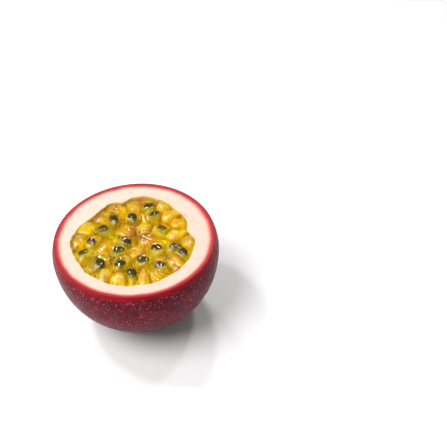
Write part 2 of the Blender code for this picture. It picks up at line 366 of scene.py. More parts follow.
# The profile carried round the fruit: (out * cos(angle), out * sin(angle), up). The cut face
# sinks by relief * noise, its inner edge moves by relief * noise * exp(-(distance / reach)^2),
# and the skin's radius shrinks by its slow relief and its fine dimples.
def makeCup():
    angle = np.linspace(0.0, 2.0 * math.pi, cup["around"], endpoint=False)
    out, up, kinds = cupProfile(angle)
    _, edge, face, rim, skin, foot = (kinds == kind for kind in range(6))
    stepLength = np.hypot(np.diff(out, axis=0), np.diff(up, axis=0))
    along = np.concatenate((np.zeros((1, len(angle))), np.cumsum(stepLength, axis=0)))
    across = (along - along[np.argmax(rim)][None]) / mm
    points = np.stack((out * np.cos(angle), out * np.sin(angle), up), axis=-1).reshape(-1, 3)
    faceHeight, faceLength = cup["faceRelief"]
    edgeHeight, edgeLength = cup["edgeRelief"]
    slowHeight, slowLength = cup["skinRelief"]
    dimpleHeight, dimpleLength = cup["skinDimple"]
    rough = plainNoise(points, faceLength, 3).reshape(out.shape)
    ragged = plainNoise(points * (1.0, 1.0, 0.35), edgeLength, 8).reshape(out.shape)
    slow = plainNoise(points, slowLength, 5, octaves=2).reshape(out.shape)
    dimple = plainNoise(points, dimpleLength, 12, octaves=2, waveCount=16).reshape(out.shape)
    fromInner = (along - along[np.argmax(face)][None]) / mm
    level = ease(fromInner, -0.2, 1.2) * ease(-across, 0.0, 1.2)
    up = up - faceHeight * (0.5 + 0.5 * rough) * level * (face | rim | edge)[:, None]
    nearEdge = np.exp(-((fromInner / cup["edgeReach"]) ** 2)) * (~skin & ~foot)[:, None]
    out = out + edgeHeight * ragged * nearEdge
    onSkin = skin[:, None] * ease(across, 0.3, 3.0) * ease(up, 0.0, 3.0 * mm)
    sunk = (slowHeight * (0.5 + 0.5 * slow) + dimpleHeight * dimple) * onSkin
    out = out * (1.0 - sunk / form["fruitRadius"])

    rings = np.stack((out * np.cos(angle), out * np.sin(angle), up), axis=-1).reshape(-1, 3)
    low = np.array([[0.0, 0.0, widestLevel - form["cavityDepth"]]])
    base = np.array([[0.0, 0.0, 0.0]])
    points = np.concatenate((low, rings, base))
    wallMark = 1.0 - ease(fromInner, -0.5, 0.3).ravel()
    fleck = np.zeros(len(points))
    for turn, middle, size in cup["flecks"]:
        x = middle * mm * np.cos(math.radians(turn))
        y = middle * mm * np.sin(math.radians(turn))
        fleck += np.exp(-((np.hypot(points[:, 0] - x, points[:, 1] - y) / (size * mm)) ** 2))
    fleck = fleck * (points[:, 2] > cutHeight - 0.8 * mm)
    # the mark runs faster at the front, so the pink band is narrower there
    front = 1.0 + pith["frontNarrow"] * np.maximum(-np.sin(angle), 0.0)[None]
    across = np.where(across < 0.0, across * front, across)
    marks = {
        "across": np.concatenate(([across.min()], across.ravel(), [across.max()])),
        "wall": np.concatenate(([1.0], wallMark, [0.0])),
        "fleck": fleck,
    }
    quads, triangles = ringFaces(len(kinds), len(angle))
    piece = addSurface("pithCup", points, quads, triangles, marks)
    isSkin = marks["across"][quads].mean(axis=1) > 0.0
    slots = np.concatenate((np.where(isSkin, 1, 0), np.zeros(len(angle)), np.ones(len(angle))))
    piece.data.materials.append(pithMaterial())
    piece.data.materials.append(skinMaterial())
    piece.data.polygons.foreach_set("material_index", slots.astype(np.int32))
    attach(piece, "root")
    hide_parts("pith_cup")
    return piece


# Scales of noise are in waves to the metre, in this and the other materials
pith = {
    "bandInner": -4.1,  # mm from the outer edge where the pink ends
    "frontNarrow": 0.7,  # how much narrower the band is at the front
    "wobble": 1.1,  # mm that the band wanders
    "wobbleScale": 170.0,
    "bands": (
        (0.00, (217, 196, 180)),
        (0.27, (219, 191, 175)),
        (0.43, (226, 164, 148)),
        (0.55, (220, 106, 96)),
        (0.66, (192, 52, 54)),
        (0.79, (162, 26, 36)),
        (0.92, (134, 16, 28)),
    ),
    "mottle": (247, 226, 204),
    "mottleScale": 420.0,
    "mottleShare": 0.5,
    "fleck": (142, 104, 74),
    "fleckShare": 0.7,
    "wallPale": (250, 222, 168),
    "wallDark": (240, 188, 96),
    "wallScale": 260.0,
    "faceRoughness": 0.42,
    "wallRoughness": 0.22,
    # scale and height of each relief, and the strength of both
    "fibres": (1500.0, 0.05 * mm),
    "pores": (600.0, 0.12 * mm),
    "relief": 0.5,
}


def pithMaterial():
    material, tree, shader = newMaterial("freshPith")
    point = objectPoint(tree)
    across = readMark(tree, "across")
    wall = readMark(tree, "wall")
    wobble = calc(tree, "SUBTRACT", noiseAt(tree, point, pith["wobbleScale"], 3.0), 0.5)
    moved = calc(tree, "ADD", across, calc(tree, "MULTIPLY", wobble, pith["wobble"]))
    bands = colourBand(tree, remap(tree, moved, pith["bandInner"], 0.0), pith["bands"])
    mottle = noiseAt(tree, point, pith["mottleScale"], 4.0, 0.6)
    mottle = remap(tree, mottle, 0.5, 0.72, 0.0, pith["mottleShare"])
    colour = blendColours(tree, mottle, bands, srgb(*pith["mottle"]), "MULTIPLY")
    wallNoise = remap(tree, noiseAt(tree, point, pith["wallScale"], 3.0), 0.35, 0.65)
    wallColour = blendColours(tree, wallNoise, srgb(*pith["wallPale"]), srgb(*pith["wallDark"]))
    colour = blendColours(tree, wall, colour, wallColour)
    fleck = calc(tree, "MULTIPLY", readMark(tree, "fleck"), pith["fleckShare"], clamp=True)
    colour = blendColours(tree, fleck, colour, srgb(*pith["fleck"]))
    fibreScale, fibreHeight = pith["fibres"]
    poreScale, poreHeight = pith["pores"]
    normal = addBump(tree, noiseAt(tree, point, poreScale, 2.0), poreHeight, pith["relief"])
    fibres = noiseAt(tree, point, fibreScale, 3.0, 0.6)
    normal = addBump(tree, fibres, fibreHeight, pith["relief"], normal)
    setShader(tree, shader, {
        "Base Color": colour,
        "Roughness": remap(tree, wall, 0.0, 1.0, pith["faceRoughness"], pith["wallRoughness"]),
        "Normal": normal,
        "Subsurface Weight": 0.35,
        "Subsurface Radius": (1.0, 0.55, 0.35),
        "Subsurface Scale": 1.6 * mm,
        "Specular IOR Level": 0.25,
    })
    return material


skinLook = {
    "bright": (120, 18, 40),
    "deep": (78, 10, 26),
    "mottleScale": 150.0,
    # painted shade: the skin darkens towards the foot, standing in for the shadow on the underside
    "low": (44, 3, 14),  # towards the foot
    "footShadeLevels": (16.0 * mm, 2.0 * mm),
    "footShadeShare": 0.9,
    "nearEdge": (160, 17, 33),
    "nearEdgeReach": (-0.6, 1.6),  # mm below the cut, before it wanders
    "nearEdgeWander": -2.0,
    "dot": (222, 138, 144),
    "dotScale": 1240.0,  # dots to the metre
    "dotSize": (0.17, 0.37),  # share of the room that each has
    "dotSoft": (0.3, 1.25),
    "dotStrength": (0.1, 0.95),
    "dotStart": (0.8, 2.6),  # mm below the cut
    "roughness": (0.36, 0.5),
    # scale, height and strength of the grain, then height and strength of the dots
    "grain": (1700.0, 0.05 * mm, 0.45),
    "dotRelief": (0.05 * mm, 0.5),
}


def skinMaterial():
    material, tree, shader = newMaterial("speckledSkin")
    point = objectPoint(tree)
    across = readMark(tree, "across")
    mottle = noiseAt(tree, point, skinLook["mottleScale"], 5.0, 0.66)
    mottle = remap(tree, mottle, 0.34, 0.66)
    base = blendColours(tree, mottle, srgb(*skinLook["deep"]), srgb(*skinLook["bright"]))
    height = addNode(tree, "SeparateXYZ", {"Vector": point}).outputs["Z"]
    # painted shade: blend towards a dark colour near the foot, for the shadow on the underside
    low = remap(tree, height, *skinLook["footShadeLevels"], 0.0, skinLook["footShadeShare"], smooth=True)
    base = blendColours(tree, low, base, srgb(*skinLook["low"]))
    wander = calc(tree, "MULTIPLY", noiseAt(tree, point, 240.0, 3.0), skinLook["nearEdgeWander"])
    away = remap(tree, calc(tree, "ADD", across, wander), *skinLook["nearEdgeReach"], smooth=True)
    base = blendColours(tree, away, srgb(*skinLook["nearEdge"]), base)
    # pale dots: one in each cell, of its own size and strength
    cells = addNode(tree, "TexVoronoi", {"Vector": point, "Scale": skinLook["dotScale"]})
    own = addNode(tree, "SeparateColor", {"Color": cells.outputs["Color"]})
    size = remap(tree, own.outputs["Red"], 0.0, 1.0, *skinLook["dotSize"])
    fromMiddle = calc(tree, "DIVIDE", cells.outputs["Distance"], size)
    dot = remap(tree, fromMiddle, *skinLook["dotSoft"], 1.0, 0.0)
    dot = calc(tree, "MULTIPLY", dot, remap(tree, across, *skinLook["dotStart"]))
    strength = remap(tree, own.outputs["Green"], 0.0, 1.0, *skinLook["dotStrength"])
    dot = calc(tree, "MULTIPLY", dot, strength)
    colour = blendColours(tree, dot, base, srgb(*skinLook["dot"]))
    grainScale, grainHeight, grainStrength = skinLook["grain"]
    grain = noiseAt(tree, point, grainScale, 3.0, 0.55)
    normal = addBump(tree, dot, *skinLook["dotRelief"])
    normal = addBump(tree, grain, grainHeight, grainStrength, normal)
    gloss = remap(tree, noiseAt(tree, point, 300.0, 3.0), 0.3, 0.7, *skinLook["roughness"])
    setShader(tree, shader, {
        "Base Color": colour,
        "Roughness": gloss,
        "Normal": normal,
        "Subsurface Weight": 0.05,
        "Subsurface Radius": (1.0, 0.3, 0.2),
        "Subsurface Scale": 1.0 * mm,
        "Specular IOR Level": 0.08,
    })
    return material


# Where the juice sacs lie, seeded sacs first. Every point of the cavity's floor plan belongs
# to the nearest sac; plain sacs move to the middle of what they hold, round by round, and
# each takes its length, width and turn from the spread of its points.
def laySacs():
    draw = np.random.default_rng(heap["seed"])
    degrees, reach = np.array(heap["seededPlaces"]).T
    angle = np.radians(degrees)
    seeded = mm * reach[:, None] * np.column_stack((np.cos(angle), np.sin(angle)))
    step = np.arange(heap["spiralPlaces"])
    angle = step * math.pi * (3.0 - math.sqrt(5.0))
    share = np.sqrt((step + 0.5) / heap["spiralPlaces"])
    reach = heap["spiralReach"] * form["cavityRadius"] * cavityShare(angle) * share
    plain = reach[:, None] * np.column_stack((np.cos(angle), np.sin(angle)))
    nearest = np.linalg.norm(plain[:, None] - seeded[None], axis=2).min(axis=1)
    places = np.concatenate((seeded, plain[nearest > heap["seededClear"]]))
    number = len(places)
    hasSeed = np.arange(number) < len(seeded)
    line = np.arange(-form["fruitRadius"], form["fruitRadius"], heap["floorStep"])
    floor = np.stack(np.meshgrid(line, line), axis=-1).reshape(-1, 2)
    floorAngle = np.arctan2(floor[:, 1], floor[:, 0])
    wall = form["cavityRadius"] * cavityShare(floorAngle) - heap["wallGap"]
    fromMiddle = np.hypot(floor[:, 0], floor[:, 1])
    floor, wall, fromMiddle = (values[fromMiddle < wall] for values in (floor, wall, fromMiddle))
    out = floor / np.maximum(fromMiddle, heap["floorStep"])[:, None]
    stretch = 1.0 - heap["wallStretch"] * (fromMiddle / wall)[:, None] ** 2
    home = places.copy()
    for _ in range(heap["settleRounds"]):
        step = floor[:, None] - places[None]
        along = (step * out[:, None]).sum(axis=2) * stretch
        aside = (step[:, :, 0] * out[:, None, 1] - step[:, :, 1] * out[:, None, 0]) / stretch
        owner = np.hypot(along, aside).argmin(axis=1)
        middle = np.array([floor[owner == sac].mean(axis=0) for sac in range(number)])
        places = np.where(hasSeed[:, None], home + heap["seededGive"] * (middle - home), middle)
    spread = np.array([np.cov(floor[owner == sac].T) for sac in range(number)])
    across, length = np.sqrt(np.linalg.eigvalsh(spread)).T
    turn = 0.5 * np.arctan2(2.0 * spread[:, 0, 1], spread[:, 0, 0] - spread[:, 1, 1])
    outward = np.cos(turn) * places[:, 0] + np.sin(turn) * places[:, 1]
    turn = np.where(outward < 0.0, turn + math.pi, turn)
    halfDepth = np.where(hasSeed, heap["seededHalfDepth"], heap["plainHalfDepth"])
    swell = 2.0 * heap["swell"]
    halves = np.column_stack((swell * length, swell * across, halfDepth))
    halves = halves * (1.0 + draw.uniform(-heap["spread"], heap["spread"], (number, 3)))
    reach = np.hypot(middle[:, 0], middle[:, 1]) / form["cavityRadius"]
    height = cutHeight - heap["depth"] + heap["wallLift"] * reach**2
    height = height + draw.uniform(-heap["lift"], heap["lift"], number)
    for x, y, width, depth in heap["dips"]:
        away = np.hypot(places[:, 0] - x, places[:, 1] - y)
        height = height - depth * np.exp(-((away / width) ** 2))
    tilt = draw.normal(0.0, heap["tilt"], number)
    return np.column_stack((middle, height)), turn, tilt, halves, hasSeed


# A turn about Z after a tilt about Y, one 3 by 3 array for each pair of angles
def turnArrays(turn, tilt):
    zero, one = np.zeros_like(turn), np.ones_like(turn)
    cosTurn, sinTurn = np.cos(turn), np.sin(turn)
    cosTilt, sinTilt = np.cos(tilt), np.sin(tilt)
    aboutZ = np.array([[cosTurn, -sinTurn, zero], [sinTurn, cosTurn, zero], [zero, zero, one]])
    aboutY = np.array([[cosTilt, zero, sinTilt], [zero, one, zero], [-sinTilt, zero, cosTilt]])
    return np.einsum("ijn,jkn->nik", aboutZ, aboutY)


# Unit directions on a ball whose poles lie on X, (cos p, sin p cos s, sin p sin s): rings of
# points between two end points
def ballDirections(rings, around):
    polar = np.linspace(0.0, math.pi, rings + 2)[1:-1, None]
    step = np.linspace(0.0, 2.0 * math.pi, around, endpoint=False)[None]
    along, wide = np.cos(polar) + 0.0 * step, np.sin(polar)
    body = np.stack((along, wide * np.cos(step), wide * np.sin(step)), axis=-1).reshape(-1, 3)
    return np.concatenate(([[1.0, 0.0, 0.0]], body, [[-1.0, 0.0, 0.0]]))


sacForm = {
    "rings": 36,
    "around": 42,
    "swell": (1.14, 1.14, 1.04),  # over the solid's sacs, before neighbours flatten it
    "point": 0.16,  # how much the outer end narrows
    "widest": 1.06,  # and how far the inner end widens at most
    "creaseGap": 0.06 * mm,
    "creaseSharpness": 7.0,
    "lump": 0.08,
    "lumpLength": 2.8 * mm,
    "wrinkle": 0.14 * mm,
    "wrinkleLength": 1.5 * mm,
    "wrinkleStretch": (0.4, 1.0, 1.0),  # below 1 draws them out along the sac
    "wallClear": 0.05 * mm,
    "topClear": 0.10 * mm,  # under the top of the solid's pulp
    "topSoft": 0.30 * mm,
    "neighbours": 10,
}


# Juice sacs: along each direction d from a sac's middle the skin lies at the oval's radius
# 1 / sqrt(sum (d / half)^2), or at the plane between it and a neighbour, t / (d . n), where
# that is nearer. The two are joined by a soft minimum, (sum r^-p)^(-1/p), so that sacs press
# flat against each other with rounded creases. The radius is then times 1 + lump * noise, plus
# wrinkle * finer noise, and all across the long axis is times 1 - point * x.
def sacSkins(places, turn, tilt, halves):
    direction = ballDirections(sacForm["rings"], sacForm["around"])
    axes = turnArrays(turn, tilt)
    swollen = halves * np.array(sacForm["swell"])
    oval = 1.0 / np.sqrt(((direction[None] / swollen[:, None]) ** 2).sum(axis=2))
    world = np.einsum("nij,mj->nmi", axes, direction)
    number = len(places)
    apart = places[None] - places[:, None]
    distance = np.linalg.norm(apart, axis=2) + np.eye(number)
    normal = apart / distance[:, :, None]
    local = np.einsum("nji,nmj->nmi", axes, normal)
    support = np.sqrt(((local * halves[:, None]) ** 2).sum(axis=2))
    share = support / (support + support.T)
    offset = np.maximum(distance * share - 0.5 * sacForm["creaseGap"], 0.1 * mm)
    order = np.argsort(distance + 1.0 * np.eye(number), axis=1)[:, : sacForm["neighbours"]]
    rows = np.arange(number)[:, None]
    facing = np.einsum("nmi,nki->nmk", world, normal[rows, order])
    limit = offset[rows, order][:, None] / np.maximum(facing, 1e-3)
    power = -sacForm["creaseSharpness"]
    radius = ((limit ** power).sum(axis=2) + oval ** power) ** (1.0 / power)
    middle = places[:, None]
    smooth = (middle + world * radius[:, :, None]).reshape(-1, 3)
    lumps = plainNoise(smooth, sacForm["lumpLength"], 21)
    radius = radius * (1.0 + sacForm["lump"] * lumps.reshape(radius.shape))
    grain = direction[None] * radius[:, :, None] * sacForm["wrinkleStretch"] + middle
    wrinkles = plainNoise(
        grain.reshape(-1, 3), sacForm["wrinkleLength"], 27, octaves=2, waveCount=12
    )
    radius = radius + sacForm["wrinkle"] * wrinkles.reshape(radius.shape)
    narrow = np.minimum(1.0 - sacForm["point"] * direction[None, :, :1], sacForm["widest"])
    skins = middle + world * radius[:, :, None]
    axis = axes[:, :, 0][:, None]
    alongAxis = ((skins - middle) * axis).sum(axis=2)[:, :, None] * axis
    skins = middle + alongAxis + (skins - middle - alongAxis) * narrow
    # no skin passes the cavity's wall
    around = np.arctan2(skins[:, :, 1], skins[:, :, 0])
    reach = np.hypot(skins[:, :, 0], skins[:, :, 1])
    limit = wallReach(around, skins[:, :, 2]) - sacForm["wallClear"]
    skins[:, :, :2] *= (np.minimum(reach, limit) / np.maximum(reach, 0.01 * mm))[:, :, None]
    # tops bend over softly under the solid's top: top - s log(1 + exp((top - z) / s))
    top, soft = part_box("pulp")[1][2] - sacForm["topClear"], sacForm["topSoft"]
    skins[:, :, 2] = top - soft * np.logaddexp(0.0, (top - skins[:, :, 2]) / soft)
    return skins, axes


seedForm = {
    "half": (2.0 * mm, 1.45 * mm, 0.95 * mm),
    "rings": 22,
    "around": 28,
    # degrees round, in the order of the seeded places
    "headings": (
        25, 40, -60, -40, -10, -60, 35, -72, -8, -65, 22, -50, 5, -5, -5, -50, 38, -55,
    ),
    "tilt": 0.18,
    "spread": 0.08,
    "point": 0.20,
    "under": 0.45 * mm,  # juice over the seed's top
    # seeds that lie deeper still, by their order
    "deeper": {1: 0.8 * mm, 9: 0.3 * mm, 14: 0.3 * mm, 15: 0.9 * mm, 17: 0.4 * mm},
    "inside": 0.92,  # share of the sac's reach that a seed keeps to
    "sinkRounds": 14,
    "sinkStep": 0.12 * mm,
    "centring": 0.06,  # share of the way to the sac's middle in each round
    "pits": 0.06,
    "pitLength": 0.9 * mm,
    "seed": 17,
}


# Seeds: a flattened oval, half * d, whose width and depth are times 1 - point * x, so that one
# end is blunt and one pointed, all times 1 + pits * noise. Each lies under its sac's skin and
# sinks, step by step, until no point of it reaches past a share of the sac's own radius in
# that direction.
def makeSeeds(places, skins):
    draw = np.random.default_rng(seedForm["seed"])
    number = len(places)
    direction = ballDirections(seedForm["rings"], seedForm["around"])
    spread = draw.uniform(-seedForm["spread"], seedForm["spread"], (number, 3))
    size = np.array(seedForm["half"]) * (1.0 + spread)
    tilt = draw.normal(0.0, seedForm["tilt"], number)
    axes = turnArrays(np.radians(seedForm["headings"]), tilt)
    body = direction[None] * size[:, None]
    body[:, :, 1:] *= 1.0 - seedForm["point"] * direction[None, :, :1]
    apart = body.reshape(-1, 3) + np.repeat(places, len(direction), axis=0)
    pits = plainNoise(apart, seedForm["pitLength"], 33, octaves=2, waveCount=16)
    body *= 1.0 + seedForm["pits"] * pits.reshape(number, -1, 1)
    body = np.einsum("nij,nmj->nmi", axes, body)
    degrees, reach = np.array(heap["seededPlaces"]).T
    middle = np.column_stack((
        mm * reach * np.cos(np.radians(degrees)),
        mm * reach * np.sin(np.radians(degrees)),
        skins[:, :, 2].max(axis=1) - seedForm["under"] - size[:, 2],
    ))
    for order, extra in seedForm["deeper"].items():
        middle[order, 2] -= extra
    outward = skins - places[:, None]
    sacReach = np.linalg.norm(outward, axis=2)
    outward = outward / sacReach[:, :, None]
    for _ in range(seedForm["sinkRounds"]):
        apart = middle[:, None] + body - places[:, None]
        length = np.linalg.norm(apart, axis=2)
        nearest = np.einsum("nmi,nki->nmk", apart, outward).argmax(axis=2)
        share = (length / np.take_along_axis(sacReach, nearest, axis=1)).max(axis=1)
        high = share > seedForm["inside"]
        middle[:, 2] -= seedForm["sinkStep"] * high
        middle[:, :2] += seedForm["centring"] * (places[:, :2] - middle[:, :2]) * high[:, None]
    points = middle[:, None] + body
    quads, triangles = ringFaces(seedForm["rings"], seedForm["around"])
    piece = addSurface(
        "seeds",
        points.reshape(-1, 3),
        repeatFaces(quads, number, len(direction)),
        repeatFaces(triangles, number, len(direction)),
    )
    piece.data.materials.append(seedMaterial())
    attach(piece, "root")
    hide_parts("pulp")
    return middle, axes, size


seedLook = {
    "dark": (24, 14, 6),
    "brown": (70, 48, 26),
    "toneScale": 900.0,
    "pores": (2200.0, 0.08 * mm, 0.6),  # scale, height and strength
}


def seedMaterial():
    material, tree, shader = newMaterial("darkSeed")
    point = objectPoint(tree)
    tone = remap(tree, noiseAt(tree, point, seedLook["toneScale"], 3.0), 0.35, 0.7)
    colour = blendColours(tree, tone, srgb(*seedLook["dark"]), srgb(*seedLook["brown"]))
    poreScale, poreHeight, poreStrength = seedLook["pores"]
    cells = addNode(tree, "TexVoronoi", {"Vector": point, "Scale": poreScale})
    normal = addBump(tree, cells.outputs["Distance"], poreHeight, poreStrength)
    setShader(tree, shader, {
        "Base Color": colour,
        "Roughness": 0.3,
        "Normal": normal,
        "Specular IOR Level": 0.3,
    })
    return material


sacLook = {
    "bands": (  # lemon, golden, orange and amber
        (0.00, (255, 238, 26)),
        (0.55, (255, 222, 10)),
        (0.85, (255, 200, 3)),
        (1.00, (255, 174, 0)),
    ),
    # each sac's place in the bands, which clouds move to and fro
    "tone": 0.28,
    "toneByWall": 0.14,
    "toneSeeded": -0.24,
    "toneSpread": 0.12,
    "toneMost": 0.45,
    "toneMilky": 0.82,
    "cloudScale": 330.0,
    "cloudShare": 1.4,
    # painted shade: sacs lying deeper under the cut are blended towards orange
    "deep": (255, 200, 3),
    "deepShadeRange": (1.8, 4.6),  # mm under the cut
    "deepShadeShare": 0.2,
    "overSeed": (240, 216, 34),
    "overSeedShare": 0.5,
    "overSeedReach": (0.85, 1.55),  # in seed sizes
    "strand": (255, 252, 190),
    "strandShare": 0.08,
    "strandScale": 900.0,
    "strandStretch": (0.3, 1.0, 1.0),  # below 1 draws them out along the sac
    "strandApart": 0.02,  # shifts each sac's strands, so that no two are alike
    # how much light goes through a clear sac, a milky one and over a seed
    "letThrough": 0.90,
    "letThroughMilky": 0.34,
    "letThroughOverSeed": 0.98,
    "streak": 1.8,
    # how milky: drawn for each sac, more by the wall, and within limits where there is a seed
    "milky": (-0.6, 0.5),
    "milkyByWall": 0.35,
    "milkySeeded": 0.35,
    "milkySeededLimits": (0.16, 0.45),
    # where all sacs by the wall are milky: middle and half width in degrees, share
    "milkySectors": ((30.0, 34.0, 1.0), (224.0, 26.0, 0.75), (262.0, 20.0, 0.6)),
    "rippleScale": 560.0,
    "rippleHeight": 0.5 * mm,
    "strandHeight": 0.3 * mm,
    "relief": (0.9, 0.3),  # away from a seed and over it
    "seed": 5,
}


# Every sac's skin in one mesh, with its marks: "clear" is 1 over a seed, "letThrough" is the
# share of light that goes through, "tone" is the place in the bands of colour, "depth" is in
# mm under the cut, and "fibre" is the point in the sac's own axes, drawn out along it.
def makeSacs(skins, places, sacAxes, hasSeed, seedMiddle, seedAxes, seedSize):
    number, each = skins.shape[:2]
    fibre = np.einsum("nji,nmj->nmi", sacAxes, skins - places[:, None])
    fibre = fibre * sacLook["strandStretch"]
    fibre = fibre + sacLook["strandApart"] * np.arange(number)[:, None, None]
    seededCount = int(hasSeed.sum())
    # how far each point of a seeded sac lies outside its seed, seen from above, in seed sizes
    apart = skins[:seededCount] - seedMiddle[:, None]
    local = np.einsum("nji,nmj->nmi", seedAxes, apart)
    away = np.hypot(local[:, :, 0] / seedSize[:, None, 0], local[:, :, 1] / seedSize[:, None, 1])
    clear = np.zeros((number, each))
    clear[:seededCount] = 1.0 - ease(away, *sacLook["overSeedReach"])
    draw = np.random.default_rng(sacLook["seed"])
    reach = np.hypot(places[:, 0], places[:, 1]) / form["cavityRadius"]
    around = np.arctan2(places[:, 1], places[:, 0])
    sector = np.zeros(number)
    for middle, width, share in sacLook["milkySectors"]:
        away = np.angle(np.exp(1j * (around - math.radians(middle)))) / math.radians(width)
        sector = np.maximum(sector, share * np.exp(-(away**4)))
    anywhere = draw.uniform(*sacLook["milky"], number)
    anywhere = anywhere + sacLook["milkyByWall"] * ease(reach, 0.55, 0.75)
    plain = np.maximum(sector * ease(reach, 0.5, 0.65), anywhere)
    seeded = np.clip(anywhere + sacLook["milkySeeded"], *sacLook["milkySeededLimits"])
    milky = np.clip(np.where(hasSeed, seeded, plain), 0.0, 1.0)[:, None]
    letThrough = sacLook["letThrough"]
    letThrough = letThrough + milky * (sacLook["letThroughMilky"] - letThrough)
    letThrough = letThrough + clear * (sacLook["letThroughOverSeed"] - letThrough)
    tone = sacLook["tone"] + sacLook["toneByWall"] * reach**3 + sacLook["toneSeeded"] * hasSeed
    tone = tone + draw.normal(0.0, sacLook["toneSpread"], number)
    tone = np.clip(tone, 0.0, sacLook["toneMost"])[:, None]
    tone = tone + milky * (sacLook["toneMilky"] - tone)
    tone = np.repeat(tone, each, axis=1)
    # the depth mark drives painted shade on the deeper sacs in their material
    depth = (cutHeight - skins[:, :, 2]) / mm
    quads, triangles = ringFaces(sacForm["rings"], sacForm["around"])
    piece = addSurface(
        "juiceSacs",
        skins.reshape(-1, 3),
        repeatFaces(quads, number, each),
        repeatFaces(triangles, number, each),
        {
            "clear": clear.ravel(),
            "letThrough": letThrough.ravel(),
            "tone": tone.ravel(),
            "depth": depth.ravel(),
            "fibre": fibre.reshape(-1, 3),
        },
    )
    piece.data.materials.append(sacMaterial())
    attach(piece, "root")
    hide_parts("pulp")
    return piece


def sacMaterial():
    material, tree, shader = newMaterial("juiceSac")
    point = objectPoint(tree)
    clear = readMark(tree, "clear")
    cloud = calc(tree, "SUBTRACT", noiseAt(tree, point, sacLook["cloudScale"], 3.0), 0.5)
    cloud = calc(tree, "MULTIPLY", cloud, sacLook["cloudShare"])
    shade = calc(tree, "ADD", readMark(tree, "tone"), cloud, clamp=True)
    colour = colourBand(tree, shade, sacLook["bands"])
    # painted shade: deeper sacs blend towards orange
    depth = readMark(tree, "depth")
    deep = remap(tree, depth, *sacLook["deepShadeRange"], 0.0, sacLook["deepShadeShare"], smooth=True)
    colour = blendColours(tree, deep, colour, srgb(*sacLook["deep"]))
    overSeed = calc(tree, "MULTIPLY", clear, sacLook["overSeedShare"])
    colour = blendColours(tree, overSeed, colour, srgb(*sacLook["overSeed"]))
    fibre = addNode(tree, "Attribute", attribute_name="fibre").outputs["Vector"]
    strands = noiseAt(tree, fibre, sacLook["strandScale"], 3.0, 0.6)
    pale = remap(tree, strands, 0.52, 0.72, 0.0, sacLook["strandShare"])
    colour = blendColours(tree, pale, colour, srgb(*sacLook["strand"]))
    # streaks let more or less light through: streak * (strands - 0.5) * (1 - letThrough)
    letThrough = readMark(tree, "letThrough")
    streak = calc(tree, "MULTIPLY", calc(tree, "SUBTRACT", strands, 0.5), sacLook["streak"])
    streak = calc(tree, "MULTIPLY", streak, calc(tree, "SUBTRACT", 1.0, letThrough))
    letThrough = calc(tree, "ADD", letThrough, streak, clamp=True)
    ripple = noiseAt(tree, point, sacLook["rippleScale"], 4.0, 0.58)
    relief = remap(tree, clear, 0.0, 1.0, *sacLook["relief"])
    normal = addBump(tree, strands, sacLook["strandHeight"], relief)
    normal = addBump(tree, ripple, sacLook["rippleHeight"], relief, normal)
    setShader(tree, shader, {
        "Base Color": colour,
        "Roughness": 0.04,
        "IOR": 1.34,
        "Transmission Weight": letThrough,
        "Normal": normal,
        "Coat Weight": 0.5,
        "Coat Roughness": 0.04,
        "Subsurface Weight": 0.4,
        "Subsurface Radius": (1.0, 0.8, 0.15),
        "Subsurface Scale": 2.2 * mm,
    })
    return material


# Threads: fine pale strands that once held the seeds, draped over the sacs
threads = {
    "inDip": 7,
    "elsewhere": 10,
    "points": 18,
    "around": 8,
    "length": (2.2 * mm, 5.0 * mm),
    "radius": (0.04 * mm, 0.09 * mm),
    "swing": 0.8 * mm,
    "dipReach": 2.6 * mm,
    "reach": 17.5 * mm,
    "headingSpread": 0.5,
    "near": 0.45 * mm,  # within which a strand rests on the highest skin
    "lowest": 4.0 * mm,  # under the cut
    "tip": 0.05 * mm,
    "colour": (255, 228, 140),
    "seed": 61,
}


